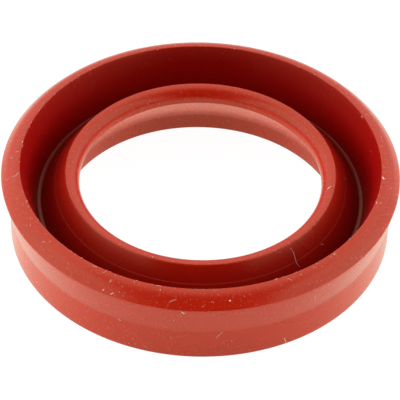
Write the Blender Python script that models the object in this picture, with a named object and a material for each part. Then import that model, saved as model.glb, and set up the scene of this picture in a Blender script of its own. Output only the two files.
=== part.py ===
"""Lip seal for the valve of a coffee maker, moulded in one piece from red silicone.

The ring stands on its flat base, with +Z up its axis and the origin at the centre of the base.
An outer and an inner lip rise from one body, with a V channel between them. The outer lip
flares out to a sharp edge that runs in the housing, and the inner lip flares in to a sharp
edge that runs on the shaft. Both lips are undercut where they leave the body.
"""

import math

import bmesh
import bpy
from mathutils import Vector

# Diameters that the seal is ordered by, in metres
OUTER_LIP_DIAMETER = 0.0400
BORE_DIAMETER = 0.0244
BODY_DIAMETER = 0.0385
BODY_BORE_DIAMETER = 0.02875

# Heights above the base
OUTER_LIP_HEIGHT = 0.0082
INNER_LIP_HEIGHT = 0.0069
OUTER_NECK_HEIGHT = 0.0035
INNER_NECK_HEIGHT = 0.00195

# Outer lip: the chamfer beside its sharp edge, then the flat land round the channel's mouth
OUTER_CHAMFER_WIDTH = 0.00105
OUTER_CHAMFER_DROP = 0.00115
OUTER_LAND_WIDTH = 0.00084

# Inner lip: its crest, rounded from the channel's mouth down to the edge on the bore
INNER_CREST_WIDTH = 0.00135
INNER_CREST_DROP = 0.0015

# V channel
WEB_THICKNESS = 0.0034
CHANNEL_ROOT_DIAMETER = 0.0326
CHANNEL_ROOT_WIDTH = 0.0004

# Radii of the section's corners
BASE_OUTER_RADIUS = 0.00015
BASE_INNER_RADIUS = 0.0002
NECK_RADIUS = 0.0003
OUTER_LAND_RADIUS = 0.0017
INNER_CREST_RADIUS = 0.00115
INNER_TIP_RADIUS = 0.00012
BORE_EDGE_RADIUS = 0.00012

# Fineness of the round shapes
SPIN_STEPS = 72
ARC_STEP = math.radians(12)
SHARP_ANGLE = math.radians(25)
# The arcs at the two ends of a side take at most this share of it together
MOST_OF_SIDE = 0.95

SILICONE_COLOUR = (0.44, 0.03, 0.014, 1.0)
SILICONE_ROUGHNESS = 0.38


def clear_scene():
    for item in list(bpy.data.objects):
        bpy.data.objects.remove(item, do_unlink=True)


def silicone():
    material = bpy.data.materials.new("red_silicone")
    material.use_nodes = True
    shader = material.node_tree.nodes["Principled BSDF"]
    shader.inputs["Base Color"].default_value = SILICONE_COLOUR
    shader.inputs["Roughness"].default_value = SILICONE_ROUGHNESS
    shader.inputs["Metallic"].default_value = 0.0
    return material


def section_corners():
    """The section's corners as (radius from the axis, height, corner radius), once round it."""
    lip_edge = OUTER_LIP_DIAMETER / 2
    bore_edge = BORE_DIAMETER / 2
    body_outside = BODY_DIAMETER / 2
    body_inside = BODY_BORE_DIAMETER / 2
    outer_land = lip_edge - OUTER_CHAMFER_WIDTH
    root = CHANNEL_ROOT_DIAMETER / 2
    return [
        (body_outside, 0.0, BASE_OUTER_RADIUS),
        (body_outside, OUTER_NECK_HEIGHT, NECK_RADIUS),
        (lip_edge, OUTER_LIP_HEIGHT - OUTER_CHAMFER_DROP, 0.0),
        (outer_land, OUTER_LIP_HEIGHT, OUTER_LAND_RADIUS),
        (outer_land - OUTER_LAND_WIDTH, OUTER_LIP_HEIGHT, 0.0),
        (root + CHANNEL_ROOT_WIDTH / 2, WEB_THICKNESS, 0.0),
        (root - CHANNEL_ROOT_WIDTH / 2, WEB_THICKNESS, 0.0),
        (bore_edge + INNER_CREST_WIDTH, INNER_LIP_HEIGHT, INNER_TIP_RADIUS),
        (bore_edge, INNER_LIP_HEIGHT, INNER_CREST_RADIUS),
        (bore_edge, INNER_LIP_HEIGHT - INNER_CREST_DROP, BORE_EDGE_RADIUS),
        (body_inside, INNER_NECK_HEIGHT, NECK_RADIUS),
        (body_inside, 0.0, BASE_INNER_RADIUS),
    ]


def turn_at(places, index):
    """The angle by which the outline turns at a corner."""
    before = places[index - 1] - places[index]
    after = places[(index + 1) % len(places)] - places[index]
    return math.pi - before.angle(after)


def corner_tangents(places, radii):
    """How far each corner's arc runs along its sides. Arcs that would overlap share their side."""
    wanted = [radius * math.tan(turn_at(places, index) / 2) for index, radius in enumerate(radii)]
    fitted = list(wanted)
    for index, place in enumerate(places):
        after = (index + 1) % len(places)
        side = (places[after] - place).length
        together = wanted[index] + wanted[after]
        if together > MOST_OF_SIDE * side:
            share = MOST_OF_SIDE * side / together
            fitted[index] = min(fitted[index], wanted[index] * share)
            fitted[after] = min(fitted[after], wanted[after] * share)
    return fitted


def corner_arc(places, index, tangent):
    """The points of the arc that rounds a corner and meets both of its sides smoothly."""
    corner = places[index]
    if tangent == 0:
        return [corner]
    before = (places[index - 1] - corner).normalized()
    after = (places[(index + 1) % len(places)] - corner).normalized()
    turn = turn_at(places, index)
    centre = corner + (before + after).normalized() * tangent / math.sin(turn / 2)
    start = corner + before * tangent - centre
    end = corner + after * tangent - centre
    steps = max(1, round(turn / ARC_STEP))
    points = []
    for step in range(steps + 1):
        angle = turn * step / steps
        share_of_start = math.sin(turn - angle) / math.sin(turn)
        share_of_end = math.sin(angle) / math.sin(turn)
        points.append(centre + start * share_of_start + end * share_of_end)
    return points


def section_outline():
    """The whole section as points in the plane of X and Z, with its corners rounded."""
    corners = section_corners()
    places = [Vector((across, up)) for across, up, radius in corners]
    tangents = corner_tangents(places, [radius for across, up, radius in corners])
    outline = []
    for index, tangent in enumerate(tangents):
        outline += corner_arc(places, index, tangent)
    return outline


def turned_ring(name, outline):
    """A closed ring made by turning the outline once round Z."""
    shape = bmesh.new()
    points = [shape.verts.new((point.x, 0.0, point.y)) for point in outline]
    edges = []
    for index, point in enumerate(points):
        edges.append(shape.edges.new((points[index - 1], point)))
    bmesh.ops.spin(
        shape,
        geom=points + edges,
        cent=(0.0, 0.0, 0.0),
        axis=(0.0, 0.0, 1.0),
        angle=2 * math.pi,
        steps=SPIN_STEPS,
        use_merge=True,
    )
    bmesh.ops.recalc_face_normals(shape, faces=shape.faces)
    mesh = bpy.data.meshes.new(name)
    shape.to_mesh(mesh)
    shape.free()
    mesh.shade_smooth()
    mesh.set_sharp_from_angle(angle=SHARP_ANGLE)
    return mesh


def lip_seal():
    mesh = turned_ring("lip_seal", section_outline())
    mesh.materials.append(silicone())
    seal = bpy.data.objects.new("lip_seal", mesh)
    bpy.context.scene.collection.objects.link(seal)
    return seal


clear_scene()
lip_seal()
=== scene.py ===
"""Looks of a coffee maker's valve seal: a red silicone ring with two lips, some dust and lint.

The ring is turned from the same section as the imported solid, with finer corners. Azimuths run
round the ring in degrees, 0 at the front (-Y) and 90 at the right (+X). Lengths are in metres.
"""

import math
import random

import bmesh
import bpy
from mathutils import Matrix, Vector
from mathutils.bvhtree import BVHTree


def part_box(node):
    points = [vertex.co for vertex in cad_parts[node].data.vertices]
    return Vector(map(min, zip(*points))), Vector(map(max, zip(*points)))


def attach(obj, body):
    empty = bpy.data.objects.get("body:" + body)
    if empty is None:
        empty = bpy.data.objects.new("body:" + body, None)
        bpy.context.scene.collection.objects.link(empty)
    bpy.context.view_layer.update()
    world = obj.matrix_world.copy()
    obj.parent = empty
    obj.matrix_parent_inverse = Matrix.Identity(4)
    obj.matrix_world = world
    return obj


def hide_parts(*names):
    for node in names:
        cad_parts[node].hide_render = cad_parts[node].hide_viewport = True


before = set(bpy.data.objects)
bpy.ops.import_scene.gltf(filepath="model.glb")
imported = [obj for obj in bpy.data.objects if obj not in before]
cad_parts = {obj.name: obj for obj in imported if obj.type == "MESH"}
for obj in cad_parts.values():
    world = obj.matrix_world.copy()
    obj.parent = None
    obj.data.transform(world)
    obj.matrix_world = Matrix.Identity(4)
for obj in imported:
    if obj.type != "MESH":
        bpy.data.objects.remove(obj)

bl_info = {
    "name": "Valve Lip Seal",
    "version": (1, 0, 0),
    "blender": (4, 5, 0),
    "location": "View3D > Sidebar > Seal",
    "description": "Dresses a moulded silicone lip seal with its finish, dust and lint",
    "category": "Object",
}

BODY = "root"
NODE = "lip_seal"
LOWEST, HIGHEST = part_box(NODE)

TURN_STEPS = 288
CORNER_STEP = math.radians(12)
LONGEST_SECTION_EDGE = 0.0006
SHARP_ANGLE = math.radians(35)
BASE_ROUNDING = 0.00015
BORE_BASE_ROUNDING = 0.0002
NECK_ROUNDING = 0.0003
ROOT_ROUNDING = 0.00012
EDGE_ROUNDING = 0.0001

# Where the finish, the painted shade and the painted light change over the ring, as radii from its
# axis and heights above its base
CHANNEL_MOUTH = 0.0183
CHANNEL_TOP = 0.00813
OUTER_WALL_LEAN = 0.1
INNER_WALL_LINE = 0.0183
INNER_WALL_LEAN = 0.7286
INNER_WALL_TOP = 0.0068
CREST_OUTSIDE = 0.0150
CHANNEL_MIDDLE = 0.0163
OUTER_WALL_SHADE_RISE = 0.0036
SHADE_BOTTOM, SHADE_TOP = 0.0030, 0.0098
FLOOR_LIGHT_BOTTOM, FLOOR_LIGHT_TOP = 0.0016, 0.0036
BORE_EDGE_HEIGHT = 0.0054
UNDERCUT_OUTSIDE = 0.0147
CREASE_HEIGHT = 0.00356
CREASE_CORE, CREASE_FADE = 0.00002, 0.00009
CREASE_LEFT_END, CREASE_FULL = 0.008, 0.016

# The silicone's noise, in waves to the metre, and the fine grain's share in its unevenness
CLOUD_SCALE = 160.0
HAZE_SCALE = 2600.0
UNEVENNESS_SCALE = 3500.0
GRAIN_SCALE = 9000.0
GRAIN_SHARE = 0.5

# How far clouds, haze and the crease's painted shade change the silicone's colour
DARK_CLOUD, PALE_CLOUD = 0.93, 1.07
HAZE_START, HAZE_FULL = 0.56, 0.80
HAZE_SHARE = 0.10
CREASE_SHARE = 0.7
CREASE_TONE = 0.5

# The silicone's gloss, coated outside the channel and partly dull inside it
GLOSS_TINT = (1.0, 0.97, 0.60, 1.0)
ROUGHNESS = 0.24
CLOUD_ROUGHNESS = 0.06
HAZE_ROUGHNESS = 0.1
COAT_SHARE = 0.5
DULL_SHARE = 0.5

# Dust and lint: their finish, and how far their shapes vary
FLUFF_CLOUD_SCALE = 900.0
DARK_FLUFF = 0.8
FLUFF_ROUGHNESS = 0.75
FLUFF_CLOUD_ROUGHNESS = 0.2
SPECK_FLATNESS = 0.5
SPECK_NARROWNESS = (0.4, 1.0)
CLEAR_SPECK_NARROWNESS = (0.6, 1.0)
FINE_DUST_POWER = 4
FIBRE_STEPS = 8
FIBRE_TAPER = 0.5
FIBRE_LENGTHS = (0.00012, 0.00045)
FIBRE_BOWS = (0.0, 0.00006)
FIBRE_WAVES = (1, 2)

# The floor lies a little below the base, so that the two faces don't coincide
FLOOR_WIDTH = 12.0
FLOOR_CLEARANCE = 0.00002

# The light that the floor gives off, what it adds where it is seen, and how much of its own
# colour it keeps there for the shadow
FLOOR_GLOW = 0.36
SEEN_FLOOR_GLOW = 0.60
SEEN_FLOOR_TONE = 0.12

# Where the seal's gloss shows the floor brighter or darker, and by how much: painted shade in front
# and painted light at the sides
RING_FOOT = 0.0180
NEAR_FLOOR, FAR_FLOOR = 0.030, 0.060
FRONT_FLOOR, SIDE_FLOOR = -0.022, -0.008
MIRRORED_FLOOR = 0.78
FRONT_FLOOR_LOSS = 0.16
SIDE_FLOOR_GAIN = 0.38

# Cards that only the seal's gloss shows: name, size, turns about X and Y in degrees, place,
# and how bright beside the plain ones
CARDS = (
    ("camera_side_card", (1.2, 1.5), (43, 0), (0.0, -0.66, 0.62), 0.0),
    ("top_card", (1.2, 0.24), (0, 0), (0.0, -0.03, 1.0), 0.6),
    ("top_back_card", (1.2, 0.24), (0, 0), (0.0, 0.21, 1.0), 1.5),
    ("back_card", (3.0, 0.4), (90, 0), (0.0, 0.9, 0.21), 1.3),
    ("left_card", (0.8, 1.7), (0, 90), (-1.1, -0.1, 0.46), 1.0),
    ("right_card", (0.8, 1.7), (0, 90), (1.1, -0.1, 0.46), 1.0),
)
CARD_TONE = 0.5

# The camera: the point that it looks at, its sensor and the nearest thing that it shows
AIM_POINT = (0.0, 0.00143, 0.00151)
SENSOR_MILLIMETRES = 36.0
NEAREST_SEEN = 0.01

# The faces of the section, each from one corner to the next
BANDS = {
    "body": ("base_edge", "neck"),
    "flare": ("neck", "lip_edge"),
    "chamfer": ("lip_edge", "land_edge"),
    "land": ("land_edge", "tip"),
    "channel outside": ("tip", "root_outer"),
    "channel inside": ("root_inner", "inner_tip"),
    "crest": ("inner_tip", "inner_crest"),
    "bore side": ("inner_crest", "bore_edge"),
    "inner flare": ("bore_edge", "inner_neck"),
    "rim": ("tip", "tip"),
}

# How readily each face keeps dust and lint
DUSTINESS = {
    "body": 3.0,
    "flare": 2.0,
    "chamfer": 3.5,
    "land": 5.0,
    "channel outside": 0.8,
    "channel inside": 0.8,
    "crest": 1.2,
    "bore side": 0.6,
    "inner flare": 0.5,
    "rim": 3.0,
}

# The clearest specks: face, azimuth, share of the way across the face, width
CLEAR_SPECKS = (
    ("chamfer", 333, 0.2, 0.00016),
    ("chamfer", 9, 0.6, 0.00018),
    ("chamfer", 328, 0.25, 0.00009),
    ("chamfer", 338, 0.8, 0.00010),
    ("chamfer", 339, 0.25, 0.00008),
    ("chamfer", 52, 0.1, 0.00011),
    ("chamfer", 4, 0.6, 0.00006),
    ("chamfer", 358, 0.7, 0.00006),
    ("land", 45, 0.65, 0.00014),
    ("land", 84, 0.85, 0.00020),
    ("land", 322, 0.95, 0.00012),
    ("land", 349, 0.35, 0.00010),
    ("land", 39, 0.15, 0.00009),
    ("land", 58, 0.1, 0.00009),
    ("flare", 316, 0.8, 0.00008),
    ("flare", 29, 0.3, 0.00008),
    ("body", 342, 0.2, 0.00010),
    ("body", 340, 0.15, 0.00010),
    ("body", 36, 0.02, 0.00012),
    ("body", 327, 0.9, 0.00008),
    ("body", 326, 0.5, 0.00008),
    ("body", 10, 0.6, 0.00011),
    ("body", 8, 0.5, 0.00009),
    ("body", 40, 0.75, 0.00009),
    ("body", 47, 0.6, 0.00008),
    ("channel outside", 264, 0.65, 0.00007),
)

# The clearest fibres: face, both ends as azimuth and share across, sideways bow, its waves, kind
CLEAR_FIBRES = (
    ("land", (279.0, 0.0), (278.0, 0.9), 0.00010, 3, "fine"),
    ("chamfer", (308.0, 0.7), (309.0, 0.85), 0.00002, 1, "fine"),
    ("land", (310.0, 0.0), (310.2, 0.35), 0.00002, 1, "fine"),
    ("land", (326.5, 0.7), (328.0, 0.8), 0.00004, 3, "fine"),
    ("chamfer", (335.5, 0.1), (336.2, 0.25), 0.00003, 1, "coarse"),
    ("chamfer", (352.0, 0.4), (354.0, 0.65), 0.00007, 1, "fine"),
    ("flare", (355.7, 0.95), (356.5, 0.88), 0.00001, 1, "coarse"),
    ("body", (337.0, 0.98), (337.9, 0.96), 0.00001, 1, "coarse"),
    ("land", (27.0, 0.5), (28.2, 0.0), 0.00012, 1, "fine"),
    ("flare", (34.3, 0.65), (35.0, 0.4), 0.00010, 1, "fine"),
    ("body", (5.5, 0.75), (7.5, 0.98), 0.00008, 1, "fine"),
    ("body", (26.0, 0.28), (26.8, 0.0), 0.00002, 1, "fine"),
    ("channel inside", (39.8, 0.92), (41.0, 0.38), 0.00012, 2, "fine"),
    ("crest", (79.5, 0.5), (81.5, 0.25), 0.00002, 1, "coarse"),
    ("land", (84.0, 0.95), (83.0, 0.7), 0.00006, 1, "coarse"),
)


def length(name, description, default):
    """A distance that a user can set, with its own name and words."""
    return bpy.props.FloatProperty(
        name=name,
        description=description,
        default=default,
        min=0.0,
        precision=5,
        subtype="DISTANCE",
        unit="LENGTH",
    )


def colour(name, description, default):
    """A colour that a user can set."""
    return bpy.props.FloatVectorProperty(
        name=name,
        description=description,
        default=default,
        size=3,
        min=0.0,
        max=1.0,
        subtype="COLOR",
    )


class SealSizes(bpy.types.PropertyGroup):
    """The ring's own sizes."""

    outer_lip: length("Outer lip", "Diameter over the outer lip's edge", HIGHEST.x - LOWEST.x)
    outer_height: length("Outer lip height", "Height of the outer lip", HIGHEST.z - LOWEST.z)
    bore: length("Bore", "Diameter inside the inner lip's edge", 0.0244)
    body: length("Body", "Outside diameter of the body", 0.0385)
    body_bore: length("Body bore", "Inside diameter of the body", 0.02875)
    inner_height: length("Inner lip height", "Height of the inner lip", 0.0069)
    outer_neck: length("Outer neck", "Height where the outer lip leaves the body", 0.0035)
    inner_neck: length("Inner neck", "Height where the inner lip leaves the body", 0.00195)
    chamfer_width: length("Chamfer width", "Width of the outer lip's chamfer", 0.00105)
    chamfer_drop: length("Chamfer drop", "Height of the outer lip's chamfer", 0.00115)
    land: length("Land", "Width of the outer lip's flat top", 0.00084)
    crest_width: length("Crest width", "Width of the inner lip's crest", 0.00135)
    crest_drop: length("Crest drop", "From the inner lip's crest down to its edge", 0.0015)
    web: length("Web", "Thickness of the body under the channel", 0.0034)
    root: length("Channel root", "Diameter of the channel's root", 0.0326)
    root_width: length("Root width", "Width of the channel's root", 0.0004)
    land_roll: length("Land roll", "Radius where the land rolls into the chamfer", 0.0017)
    crest_roll: length("Crest roll", "Radius of the inner lip's crest", 0.00115)


class SealColours(bpy.types.PropertyGroup):
    """The ring's colours, painted shade and painted light among them."""

    silicone: colour("Silicone", "Colour of the silicone", (0.48, 0.012, 0.002))
    # Painted shade: a darker red down in the channel and in the neck's crease, where less light
    # falls
    painted_shade: colour("Deep silicone", "Colour of the silicone down in the channel", (0.26, 0.0, 0.0))
    # Painted light: a paler red under the inner lip, where the floor's light falls and shines
    # through the thin silicone
    thin: colour("Thin silicone", "Colour of the thin edge from below", (0.86, 0.12, 0.07))
    dust: colour("Dust", "Colour of dust specks", (0.96, 0.80, 0.70))
    lint: colour("Lint", "Colour of lint fibres", (0.96, 0.82, 0.73))
    floor: colour("Floor", "Colour of the floor", (0.90, 0.90, 0.90))
    reflected: colour("Reflected white", "The room's white in the seal's gloss", (1.0, 0.95, 0.93))
    reflected_floor: colour("Reflected floor", "The floor in the seal's gloss", (1.0, 0.97, 0.80))


class SealDirt(bpy.types.PropertyGroup):
    """How much dust and lint clings to the ring."""

    seed: bpy.props.IntProperty(name="Seed", description="Start of the random draws", default=7)
    specks: bpy.props.IntProperty(
        name="Specks", description="Number of dust specks scattered all round", default=720, min=0
    )
    fibres: bpy.props.IntProperty(
        name="Fibres", description="Number of short fibres scattered all round", default=34, min=0
    )
    smallest_speck: length("Smallest speck", "Width of the finest dust", 0.00003)
    largest_speck: length("Largest speck", "Width of the coarsest scattered dust", 0.00011)
    fine_fibre: length("Fine fibre", "Thickness of a fine fibre", 0.000035)
    coarse_fibre: length("Coarse fibre", "Thickness of a coarse fibre", 0.00008)


class SealStage(bpy.types.PropertyGroup):
    """Where the camera stands and how bright the room is."""

    camera_distance: length("Camera distance", "From the seal to the camera", 0.240)
    camera_elevation: bpy.props.FloatProperty(
        name="Camera elevation",
        description="Angle of the camera above the floor",
        default=math.radians(43.34),
        subtype="ANGLE",
        unit="ROTATION",
    )
    camera_roll: bpy.props.FloatProperty(
        name="Camera roll",
        description="Turn of the camera about its own line of sight",
        default=math.radians(1.3),
        subtype="ANGLE",
        unit="ROTATION",
    )
    lens: bpy.props.FloatProperty(
        name="Lens",
        description="Focal length on a 36 mm wide sensor",
        default=210.9,
        subtype="DISTANCE_CAMERA",
        unit="CAMERA",
    )
    room_light: bpy.props.FloatProperty(
        name="Room light",
        description="Strength of the even light from all round",
        default=0.38,
        min=0.0,
    )
    side_light: bpy.props.FloatProperty(
        name="Side light",
        description="Strength added towards the left and right walls",
        default=5.8,
        min=0.0,
    )
    side_lean: bpy.props.FloatProperty(
        name="Side lean",
        description="How much of the side light comes from behind rather than from the front",
        default=0.35,
        min=0.0,
    )
    back_light: bpy.props.FloatProperty(
        name="Back light",
        description="Strength added towards the back wall and taken from the front",
        default=0.62,
        min=0.0,
    )
    left_light: bpy.props.FloatProperty(
        name="Left light",
        description="Strength added towards the left wall and taken from the right",
        default=0.25,
        min=0.0,
    )


class Wire:
    """A value in a material's nodes. Arithmetic on it adds Math nodes."""

    def __init__(self, nodes, socket):
        self.nodes = nodes
        self.socket = socket

    def __add__(self, other):
        return self.nodes.math("ADD", self, other)

    def __radd__(self, other):
        return self.nodes.math("ADD", other, self)

    def __sub__(self, other):
        return self.nodes.math("SUBTRACT", self, other)

    def __rsub__(self, other):
        return self.nodes.math("SUBTRACT", other, self)

    def __mul__(self, other):
        return self.nodes.math("MULTIPLY", self, other)

    def __rmul__(self, other):
        return self.nodes.math("MULTIPLY", other, self)

    def __gt__(self, other):
        return self.nodes.math("GREATER_THAN", self, other)

    def __lt__(self, other):
        return self.nodes.math("LESS_THAN", self, other)


class Nodes:
    """A node tree, emptied and built up again by one method for all kinds of node."""

    def __init__(self, owner):
        owner.use_nodes = True
        self.tree = owner.node_tree
        self.tree.nodes.clear()

    def add(self, kind, settings=None, sockets=None, output=0):
        """Adds a node with its settings, then its sockets' values or links, and gives an output."""
        node = self.tree.nodes.new(kind)
        for name, value in (settings or {}).items():
            if name == "stops":
                self.set_stops(node.color_ramp, value)
            else:
                setattr(node, name, value)
        for name, value in (sockets or {}).items():
            if isinstance(value, Wire):
                self.tree.links.new(value.socket, node.inputs[name])
            else:
                node.inputs[name].default_value = value
        return Wire(self, node.outputs[output]) if node.outputs else node

    def set_stops(self, ramp, stops):
        """Gives a colour ramp its stops, from pairs of a place and a grey."""
        while len(ramp.elements) < len(stops):
            ramp.elements.new(1.0)
        for element, (place, grey) in zip(ramp.elements, stops):
            element.position = place
            element.color = (grey, grey, grey, 1.0)

    def math(self, operation, first, second):
        return self.add("ShaderNodeMath", {"operation": operation}, {0: first, 1: second})

    def object_coordinates(self):
        return self.add("ShaderNodeTexCoord", output="Object")

    def part_of(self, place, axis):
        """A place's distance along one axis."""
        return self.add("ShaderNodeSeparateXYZ", {}, {"Vector": place}, output=axis)

    def noise(self, place, scale, detail=2.0, roughness=0.5):
        """Soft noise from 0 to 1, with this many waves to the metre."""
        return self.add(
            "ShaderNodeTexNoise",
            {"noise_dimensions": "3D"},
            {"Vector": place, "Scale": scale, "Detail": detail, "Roughness": roughness},
            output="Fac",
        )

    def ramp(self, value, low, high):
        """0 below low, 1 above high, and a smooth rise between."""
        return self.add(
            "ShaderNodeMapRange",
            {"interpolation_type": "SMOOTHSTEP"},
            {"Value": value, "From Min": low, "From Max": high},
        )

    def mix_colours(self, share, first, second):
        """first where share is 0 and second where it is 1."""
        node = self.tree.nodes.new("ShaderNodeMix")
        node.data_type = "RGBA"
        # A mix of colours has its factor at input 0 and its colours at inputs 6 and 7
        for index, value in ((0, share), (6, first), (7, second)):
            if isinstance(value, Wire):
                self.tree.links.new(value.socket, node.inputs[index])
            else:
                node.inputs[index].default_value = value
        return Wire(self, node.outputs[2])


def opaque(rgb, factor=1.0):
    """A colour with full alpha, made darker or lighter by a factor."""
    return (rgb[0] * factor, rgb[1] * factor, rgb[2] * factor, 1.0)


def radius_and_height(nodes, place):
    """The distance from the ring's axis and the height above its base."""
    flatten = {0: place, 1: (1.0, 1.0, 0.0)}
    across = nodes.add("ShaderNodeVectorMath", {"operation": "MULTIPLY"}, flatten)
    radius = nodes.add("ShaderNodeVectorMath", {"operation": "LENGTH"}, {0: across}, "Value")
    return radius, nodes.part_of(place, "Z")


def in_channel(radius, height):
    """1 on the channel's walls and 0 elsewhere."""
    outer_wall = CHANNEL_MOUTH - CHANNEL_TOP * OUTER_WALL_LEAN
    inside_outer_lip = radius - height * OUTER_WALL_LEAN < outer_wall
    outside_inner_lip = radius + height * INNER_WALL_LEAN > INNER_WALL_LINE
    off_the_crest = (height < INNER_WALL_TOP) + (radius > CREST_OUTSIDE) > 0.5
    return inside_outer_lip * outside_inner_lip * off_the_crest * (height < CHANNEL_TOP)


def floor_light_share(nodes, radius, height):
    """Rises to 1 on the underside of the inner lip, towards its edge, and is 0 elsewhere: the share
    of painted light from the floor.
    """
    rise = nodes.ramp(height, FLOOR_LIGHT_BOTTOM, FLOOR_LIGHT_TOP)
    return rise * (height < BORE_EDGE_HEIGHT) * (radius < UNDERCUT_OUTSIDE)


def neck_crease_shade(nodes, place, height):
    """1 in the fine crease that shows on the right, where the outer lip leaves the body: painted
    shade.
    """
    off_line = nodes.math("ABSOLUTE", height - CREASE_HEIGHT, 0.0)
    side = nodes.part_of(place, "X")
    line = 1.0 - nodes.ramp(off_line, CREASE_CORE, CREASE_FADE)
    return line * nodes.ramp(side, CREASE_LEFT_END, CREASE_FULL)


def silicone_finish(colours):
    """Moulded silicone: satin, a little uneven in colour, with fine dust on it, painted shade down
    in the channel and in a crease, and painted light under the inner lip.
    """
    material = bpy.data.materials.new("moulded_silicone")
    nodes = Nodes(material)
    place = nodes.object_coordinates()
    cloud = nodes.noise(place, CLOUD_SCALE, detail=3.0)
    grain = nodes.noise(place, GRAIN_SCALE)
    dark, pale = opaque(colours.silicone, DARK_CLOUD), opaque(colours.silicone, PALE_CLOUD)
    mottled = nodes.mix_colours(cloud, dark, pale)
    radius, height = radius_and_height(nodes, place)
    channel = in_channel(radius, height)
    shade_height = height - (radius > CHANNEL_MIDDLE) * OUTER_WALL_SHADE_RISE
    # Painted shade: darker towards the bottom of the channel
    depth = channel * (1.0 - nodes.ramp(shade_height, SHADE_BOTTOM, SHADE_TOP))
    # Painted light: paler under the inner lip, where the floor's light falls
    lit = nodes.mix_colours(floor_light_share(nodes, radius, height), mottled, opaque(colours.thin))
    shaded = nodes.mix_colours(depth, lit, opaque(colours.painted_shade))
    haze_noise = nodes.noise(place, HAZE_SCALE, detail=4.0, roughness=0.7)
    haze = nodes.ramp(haze_noise, HAZE_START, HAZE_FULL) * (1.0 - channel)
    # Painted shade in the crease on the right
    crease = neck_crease_shade(nodes, place, height) * CREASE_SHARE
    crease_shaded = nodes.mix_colours(crease, shaded, opaque(colours.painted_shade, CREASE_TONE))
    dusted = nodes.mix_colours(haze * HAZE_SHARE, crease_shaded, opaque(colours.dust))
    unevenness = nodes.noise(place, UNEVENNESS_SCALE, detail=3.0) + grain * GRAIN_SHARE
    bump = nodes.add(
        "ShaderNodeBump",
        {},
        {"Strength": 0.10, "Distance": 0.00004, "Height": unevenness},
    )
    shader = nodes.add(
        "ShaderNodeBsdfPrincipled",
        {},
        {
            "Base Color": dusted,
            "Roughness": ROUGHNESS + cloud * CLOUD_ROUGHNESS + haze * HAZE_ROUGHNESS,
            "IOR": 1.58,
            "Specular Tint": GLOSS_TINT,
            "Coat Weight": COAT_SHARE - channel * COAT_SHARE,
            "Coat Roughness": 0.20,
            "Coat IOR": 1.24,
            "Normal": bump,
        },
    )
    dull = nodes.add(
        "ShaderNodeBsdfPrincipled",
        {},
        {"Base Color": dusted, "Roughness": 0.7, "IOR": 1.1, "Normal": bump},
    )
    both = nodes.add("ShaderNodeMixShader", {}, {0: channel * DULL_SHARE, 1: shader, 2: dull})
    nodes.add("ShaderNodeOutputMaterial", {}, {"Surface": both})
    return material


def fluff_finish(name, rgb):
    """Dull pale fluff, for dust and lint."""
    material = bpy.data.materials.new(name)
    nodes = Nodes(material)
    cloud = nodes.noise(nodes.object_coordinates(), FLUFF_CLOUD_SCALE)
    tone = nodes.mix_colours(cloud, opaque(rgb, DARK_FLUFF), opaque(rgb))
    roughness = FLUFF_ROUGHNESS + cloud * FLUFF_CLOUD_ROUGHNESS
    shader = nodes.add(
        "ShaderNodeBsdfPrincipled",
        {},
        {"Base Color": tone, "Roughness": roughness, "IOR": 1.4},
    )
    nodes.add("ShaderNodeOutputMaterial", {}, {"Surface": shader})
    return material


def ray_share(nodes, kind):
    """1 for rays of this kind and 0 for others."""
    return nodes.add("ShaderNodeLightPath", output=kind)


def seen_light(nodes):
    """1 for rays from the camera, straight or by way of gloss or glass, and 0 for others."""
    glassy = ray_share(nodes, "Is Glossy Ray") + ray_share(nodes, "Is Transmission Ray")
    return ray_share(nodes, "Is Camera Ray") + glassy


def paper_white(nodes, reflected):
    """White, and another white where the silicone's gloss shows it."""
    glossy = ray_share(nodes, "Is Glossy Ray")
    return nodes.mix_colours(glossy, opaque((1.0, 1.0, 1.0)), reflected)


def section_corners(sizes):
    """The section's corners in order, from the base's outer edge round to its inner edge.

    Each has its radius from the axis, its height and the radius that rounds it.
    """
    lip = sizes.outer_lip / 2
    bore = sizes.bore / 2
    outer_land = lip - sizes.chamfer_width
    root = sizes.root / 2
    return {
        "base_edge": (sizes.body / 2, 0.0, BASE_ROUNDING),
        "neck": (sizes.body / 2, sizes.outer_neck, NECK_ROUNDING),
        "lip_edge": (lip, sizes.outer_height - sizes.chamfer_drop, EDGE_ROUNDING),
        "land_edge": (outer_land, sizes.outer_height, sizes.land_roll),
        "tip": (outer_land - sizes.land, sizes.outer_height, EDGE_ROUNDING),
        "root_outer": (root + sizes.root_width / 2, sizes.web, ROOT_ROUNDING),
        "root_inner": (root - sizes.root_width / 2, sizes.web, ROOT_ROUNDING),
        "inner_tip": (bore + sizes.crest_width, sizes.inner_height, EDGE_ROUNDING),
        "inner_crest": (bore, sizes.inner_height, sizes.crest_roll),
        "bore_edge": (bore, sizes.inner_height - sizes.crest_drop, EDGE_ROUNDING),
        "inner_neck": (sizes.body_bore / 2, sizes.inner_neck, NECK_ROUNDING),
        "bore_base": (sizes.body_bore / 2, 0.0, BORE_BASE_ROUNDING),
    }


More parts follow.
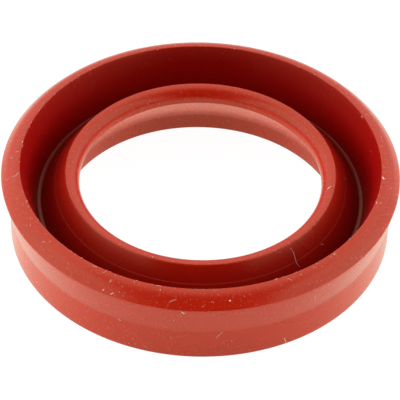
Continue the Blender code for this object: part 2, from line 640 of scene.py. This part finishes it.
def rounded_section(corners):
    """The section as a bmesh of edges in the plane of X and Z, with its corners rounded."""
    shape = bmesh.new()
    points = [shape.verts.new((radius, 0.0, height)) for radius, height, rounding in corners]
    face = shape.faces.new(points)
    for index, (radius, height, rounding) in enumerate(corners):
        place = points[index].co
        before = Vector(corners[index - 1][:2]) - Vector((radius, height))
        after = Vector(corners[(index + 1) % len(corners)][:2]) - Vector((radius, height))
        turn = math.pi - before.angle(after)
        bmesh.ops.bevel(
            shape,
            geom=[points[index]],
            offset=rounding * math.tan(turn / 2),
            offset_type="OFFSET",
            segments=max(2, round(turn / CORNER_STEP)),
            profile=0.5,
            affect="VERTICES",
            material=-1,
        )
    for edge in list(shape.edges):
        cuts = int(edge.calc_length() / LONGEST_SECTION_EDGE)
        if cuts:
            bmesh.ops.subdivide_edges(shape, edges=[edge], cuts=cuts)
    bmesh.ops.delete(shape, geom=list(shape.faces), context="FACES_ONLY")
    return shape


def finished_piece(name, shape, material):
    """Makes an object of a bmesh, riding with the seal and taking its slot's finish."""
    mesh = bpy.data.meshes.new(name)
    shape.to_mesh(mesh)
    shape.free()
    mesh.materials.append(material)
    mesh.shade_smooth()
    mesh.set_sharp_from_angle(angle=SHARP_ANGLE)
    piece = bpy.data.objects.new(name, mesh)
    bpy.context.scene.collection.objects.link(piece)
    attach(piece, BODY)
    return piece


class SEAL_OT_mould_ring(bpy.types.Operator):
    """Turn the ring from its section and give it the silicone's finish"""

    bl_idname = "seal.mould_ring"
    bl_label = "Mould the ring"

    def execute(self, context):
        corners = section_corners(context.scene.seal_sizes)
        shape = rounded_section(list(corners.values()))
        bmesh.ops.spin(
            shape,
            geom=list(shape.verts) + list(shape.edges),
            cent=(0.0, 0.0, 0.0),
            axis=(0.0, 0.0, 1.0),
            angle=2 * math.pi,
            steps=TURN_STEPS,
            use_merge=True,
        )
        bmesh.ops.recalc_face_normals(shape, faces=list(shape.faces))
        ring = finished_piece("seal_ring", shape, silicone_finish(context.scene.seal_colours))
        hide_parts(NODE)
        return {"FINISHED"}


def ring_surface(context):
    """The ring's surface, to settle dust and lint on."""
    return BVHTree.FromObject(bpy.data.objects["seal_ring"], context.evaluated_depsgraph_get())


def on_band(surface, corners, band, azimuth, share):
    """The place at a share of the way across a band, and the surface's normal there."""
    first, last = BANDS[band]
    radius, height = Vector(corners[first][:2]).lerp(Vector(corners[last][:2]), share)
    angle = math.radians(azimuth)
    start = Vector((radius * math.sin(angle), -radius * math.cos(angle), height))
    place, normal, face, distance = surface.find_nearest(start)
    return place, normal


def add_speck(shape, place, normal, width, narrowness, turn):
    """A flattened crumb that lies on the surface."""
    lie = normal.to_track_quat("Z", "Y").to_matrix().to_4x4()
    size = Matrix.Diagonal((width, width * narrowness, width * SPECK_FLATNESS, 1.0))
    stand = Matrix.Translation(place) @ lie @ Matrix.Rotation(turn, 4, "Z") @ size
    bmesh.ops.create_icosphere(shape, subdivisions=1, radius=0.5, matrix=stand)


class SEAL_OT_settle_dust(bpy.types.Operator):
    """Settle dust specks on the ring, the clearest ones each in its place"""

    bl_idname = "seal.settle_dust"
    bl_label = "Settle the dust"

    def execute(self, context):
        dirt = context.scene.seal_dirt
        corners = section_corners(context.scene.seal_sizes)
        surface = ring_surface(context)
        draw = random.Random(dirt.seed)
        shape = bmesh.new()
        for band, azimuth, share, width in CLEAR_SPECKS:
            place, normal = on_band(surface, corners, band, azimuth, share)
            narrowness = draw.uniform(*CLEAR_SPECK_NARROWNESS)
            add_speck(shape, place, normal, width, narrowness, draw.uniform(0.0, math.pi))
        span = dirt.largest_speck - dirt.smallest_speck
        bands = draw.choices(list(DUSTINESS), weights=list(DUSTINESS.values()), k=dirt.specks)
        for band in bands:
            azimuth, share = draw.uniform(0.0, 360.0), draw.random()
            place, normal = on_band(surface, corners, band, azimuth, share)
            width = dirt.smallest_speck + span * draw.random() ** FINE_DUST_POWER
            narrowness = draw.uniform(*SPECK_NARROWNESS)
            add_speck(shape, place, normal, width, narrowness, draw.uniform(0.0, math.pi))
        colours = context.scene.seal_colours
        finished_piece("dust", shape, fluff_finish("dust", colours.dust))
        return {"FINISHED"}


def fibre_path(surface, first, last, bow, waves, thickness):
    """Points along a bent fibre that lies on the surface from first to last."""
    chord = last - first
    points = []
    for step in range(FIBRE_STEPS + 1):
        along = step / FIBRE_STEPS
        straight = first.lerp(last, along)
        place, normal, face, distance = surface.find_nearest(straight)
        aside = normal.cross(chord).normalized() * bow * math.sin(math.pi * waves * along)
        place, normal, face, distance = surface.find_nearest(straight + aside)
        points.append(place + normal * thickness / 2)
    return points


def add_fibre(curve, points, thickness):
    """A thin round thread along the points, tapered at its ends."""
    thread = curve.splines.new("NURBS")
    thread.points.add(len(points) - 1)
    thread.use_endpoint_u = True
    thread.order_u = 3
    for index, (knot, place) in enumerate(zip(thread.points, points)):
        knot.co = (*place, 1.0)
        at_end = index in (0, len(points) - 1)
        knot.radius = thickness * (FIBRE_TAPER if at_end else 1.0)


class SEAL_OT_drop_lint(bpy.types.Operator):
    """Drop lint fibres on the ring, the clearest ones each in its place"""

    bl_idname = "seal.drop_lint"
    bl_label = "Drop the lint"

    def execute(self, context):
        dirt = context.scene.seal_dirt
        corners = section_corners(context.scene.seal_sizes)
        surface = ring_surface(context)
        thicknesses = {"fine": dirt.fine_fibre, "coarse": dirt.coarse_fibre}
        curve = bpy.data.curves.new("lint_threads", "CURVE")
        curve.dimensions = "3D"
        curve.bevel_depth = 0.5
        curve.bevel_resolution = 0
        curve.resolution_u = 2
        curve.use_fill_caps = True
        for band, start, end, bow, waves, kind in CLEAR_FIBRES:
            first, normal = on_band(surface, corners, band, *start)
            last, normal = on_band(surface, corners, band, *end)
            thickness = thicknesses[kind]
            add_fibre(curve, fibre_path(surface, first, last, bow, waves, thickness), thickness)
        draw = random.Random(dirt.seed + 1)
        for band in draw.choices(list(DUSTINESS), weights=list(DUSTINESS.values()), k=dirt.fibres):
            first, normal = on_band(surface, corners, band, draw.uniform(0.0, 360.0), draw.random())
            aside = normal.orthogonal() * draw.uniform(-1.0, 1.0)
            along = normal.cross(normal.orthogonal()) * draw.uniform(-1.0, 1.0)
            last = first + (aside + along).normalized() * draw.uniform(*FIBRE_LENGTHS)
            bow, waves = draw.uniform(*FIBRE_BOWS), draw.choice(FIBRE_WAVES)
            thickness = dirt.fine_fibre
            add_fibre(curve, fibre_path(surface, first, last, bow, waves, thickness), thickness)
        threads = bpy.data.objects.new("lint_threads", curve)
        context.scene.collection.objects.link(threads)
        drawn = threads.evaluated_get(context.evaluated_depsgraph_get())
        mesh = bpy.data.meshes.new_from_object(drawn)
        bpy.data.objects.remove(threads)
        shape = bmesh.new()
        shape.from_mesh(mesh)
        bmesh.ops.recalc_face_normals(shape, faces=list(shape.faces))
        bpy.data.meshes.remove(mesh)
        colours = context.scene.seal_colours
        finished_piece("lint", shape, fluff_finish("lint", colours.lint))
        return {"FINISHED"}


def flat_sheet(name, width, depth, material):
    """A flat sheet on the stage, facing up."""
    shape = bmesh.new()
    bmesh.ops.create_grid(shape, x_segments=1, y_segments=1, size=0.5)
    bmesh.ops.scale(shape, vec=(width, depth, 1.0), verts=shape.verts)
    mesh = bpy.data.meshes.new(name)
    shape.to_mesh(mesh)
    shape.free()
    mesh.materials.append(material)
    sheet = bpy.data.objects.new(name, mesh)
    bpy.context.scene.collection.objects.link(sheet)
    return sheet


class SEAL_OT_set_stage(bpy.types.Operator):
    """Lay the floor, light the room and set up the camera"""

    bl_idname = "seal.set_stage"
    bl_label = "Set the stage"

    def execute(self, context):
        stage = context.scene.seal_stage
        colours = context.scene.seal_colours
        self.lay_floor(colours)
        self.light_room(context.scene, stage, colours)
        for name, size, turns, place, brightness in CARDS:
            tone = opaque(colours.reflected, CARD_TONE * brightness)
            self.hang_card(name, size, turns, place, tone)
        self.stand_camera(context.scene, stage)
        return {"FINISHED"}

    def lay_floor(self, colours):
        """A pale floor that keeps the seal's shadow, open to a view from below."""
        material = bpy.data.materials.new("floor_white")
        nodes = Nodes(material)
        seen = seen_light(nodes)
        seen_tone = opaque(colours.floor, SEEN_FLOOR_TONE)
        paper = nodes.mix_colours(seen, opaque(colours.floor), seen_tone)
        mirrored = self.mirrored_floor(nodes, colours)
        diffuse = nodes.add("ShaderNodeBsdfDiffuse", {}, {"Color": paper})
        strength = FLOOR_GLOW + seen * SEEN_FLOOR_GLOW
        white = paper_white(nodes, mirrored)
        glow = nodes.add("ShaderNodeEmission", {}, {"Color": white, "Strength": strength})
        both = nodes.add("ShaderNodeAddShader", {}, {0: diffuse, 1: glow})
        from_below = nodes.add("ShaderNodeNewGeometry", output="Backfacing")
        clear = nodes.add("ShaderNodeBsdfTransparent")
        one_sided = nodes.add("ShaderNodeMixShader", {}, {0: from_below, 1: both, 2: clear})
        nodes.add("ShaderNodeOutputMaterial", {}, {"Surface": one_sided})
        floor = flat_sheet("floor", FLOOR_WIDTH, FLOOR_WIDTH, material)
        floor.location.z = -FLOOR_CLEARANCE

    def mirrored_floor(self, nodes, colours):
        """The floor as the seal's gloss shows it, with painted light at the sides and painted shade
        in front.
        """
        place = nodes.object_coordinates()
        radius, height = radius_and_height(nodes, place)
        beside = (radius > RING_FOOT) * (1.0 - nodes.ramp(radius, NEAR_FLOOR, FAR_FLOOR))
        to_side = nodes.ramp(nodes.part_of(place, "Y"), FRONT_FLOOR, SIDE_FLOOR)
        change = to_side * SIDE_FLOOR_GAIN - FRONT_FLOOR_LOSS
        brightness = MIRRORED_FLOOR + beside * change
        black = opaque(colours.reflected_floor, 0.0)
        return nodes.mix_colours(brightness, black, opaque(colours.reflected_floor))

    def light_room(self, scene, stage, colours):
        """A world, white where it is seen, that lights the seal from the sides and the back."""
        scene.world = bpy.data.worlds.new("white_room")
        nodes = Nodes(scene.world)
        direction = nodes.add("ShaderNodeTexCoord", output="Generated")
        right = nodes.part_of(direction, "X")
        back = nodes.part_of(direction, "Y")
        towards_side = right * right
        from_behind = 1.0 + back * stage.side_lean
        walls = towards_side * towards_side * from_behind * stage.side_light
        sides = walls - right * stage.left_light
        front_to_back = nodes.math("MAXIMUM", back * stage.back_light + stage.room_light, 0.0)
        room_light = nodes.math("MAXIMUM", front_to_back + sides, 0.0)
        seen = seen_light(nodes)
        strength = seen + (1.0 - seen) * room_light
        white = paper_white(nodes, opaque(colours.reflected))
        room = nodes.add("ShaderNodeBackground", {}, {"Color": white, "Strength": strength})
        nodes.add("ShaderNodeOutputWorld", {}, {"Surface": room})

    def hang_card(self, name, size, turns, place, tone):
        """A plain card that only the seal's gloss shows."""
        material = bpy.data.materials.new(name)
        nodes = Nodes(material)
        face = nodes.add("ShaderNodeEmission", {}, {"Color": tone})
        nodes.add("ShaderNodeOutputMaterial", {}, {"Surface": face})
        card = flat_sheet(name, *size, material)
        card.rotation_euler = (math.radians(turns[0]), math.radians(turns[1]), 0.0)
        card.location = place
        card.visible_camera = False
        card.visible_diffuse = False
        card.visible_shadow = False

    def stand_camera(self, scene, stage):
        """The camera where the photo was taken from."""
        camera = bpy.data.objects.new("camera", bpy.data.cameras.new("camera"))
        scene.collection.objects.link(camera)
        up = math.sin(stage.camera_elevation)
        away = math.cos(stage.camera_elevation)
        camera.location = Vector((0.0, -away, up)) * stage.camera_distance
        camera.data.lens = stage.lens
        camera.data.sensor_width = SENSOR_MILLIMETRES
        camera.data.clip_start = NEAREST_SEEN
        aim = Vector(AIM_POINT) - camera.location
        facing = aim.to_track_quat("-Z", "Y").to_matrix()
        camera.rotation_euler = (facing @ Matrix.Rotation(stage.camera_roll, 3, "Z")).to_euler()
        scene.camera = camera
        scene.view_settings.view_transform = "Standard"


class SEAL_PT_panel(bpy.types.Panel):
    """The seal's steps and sizes"""

    bl_label = "Valve Lip Seal"
    bl_idname = "SEAL_PT_panel"
    bl_space_type = "VIEW_3D"
    bl_region_type = "UI"
    bl_category = "Seal"

    def draw(self, context):
        for step in STEPS:
            self.layout.operator(step.bl_idname)
        for group in GROUPS:
            settings = getattr(context.scene, group)
            box = self.layout.box()
            for name in settings.__annotations__:
                box.prop(settings, name)


STEPS = (SEAL_OT_mould_ring, SEAL_OT_settle_dust, SEAL_OT_drop_lint, SEAL_OT_set_stage)
GROUPS = {
    "seal_sizes": SealSizes,
    "seal_colours": SealColours,
    "seal_dirt": SealDirt,
    "seal_stage": SealStage,
}


def register():
    for kind in (*GROUPS.values(), *STEPS, SEAL_PT_panel):
        bpy.utils.register_class(kind)
    for name, kind in GROUPS.items():
        setattr(bpy.types.Scene, name, bpy.props.PointerProperty(type=kind))


def unregister():
    for name in GROUPS:
        delattr(bpy.types.Scene, name)
    for kind in reversed((*GROUPS.values(), *STEPS, SEAL_PT_panel)):
        bpy.utils.unregister_class(kind)


def main():
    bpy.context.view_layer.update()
    register()
    bpy.ops.seal.mould_ring()
    bpy.ops.seal.settle_dust()
    bpy.ops.seal.drop_lint()
    bpy.ops.seal.set_stage()


if __name__ == "__main__":
    main()
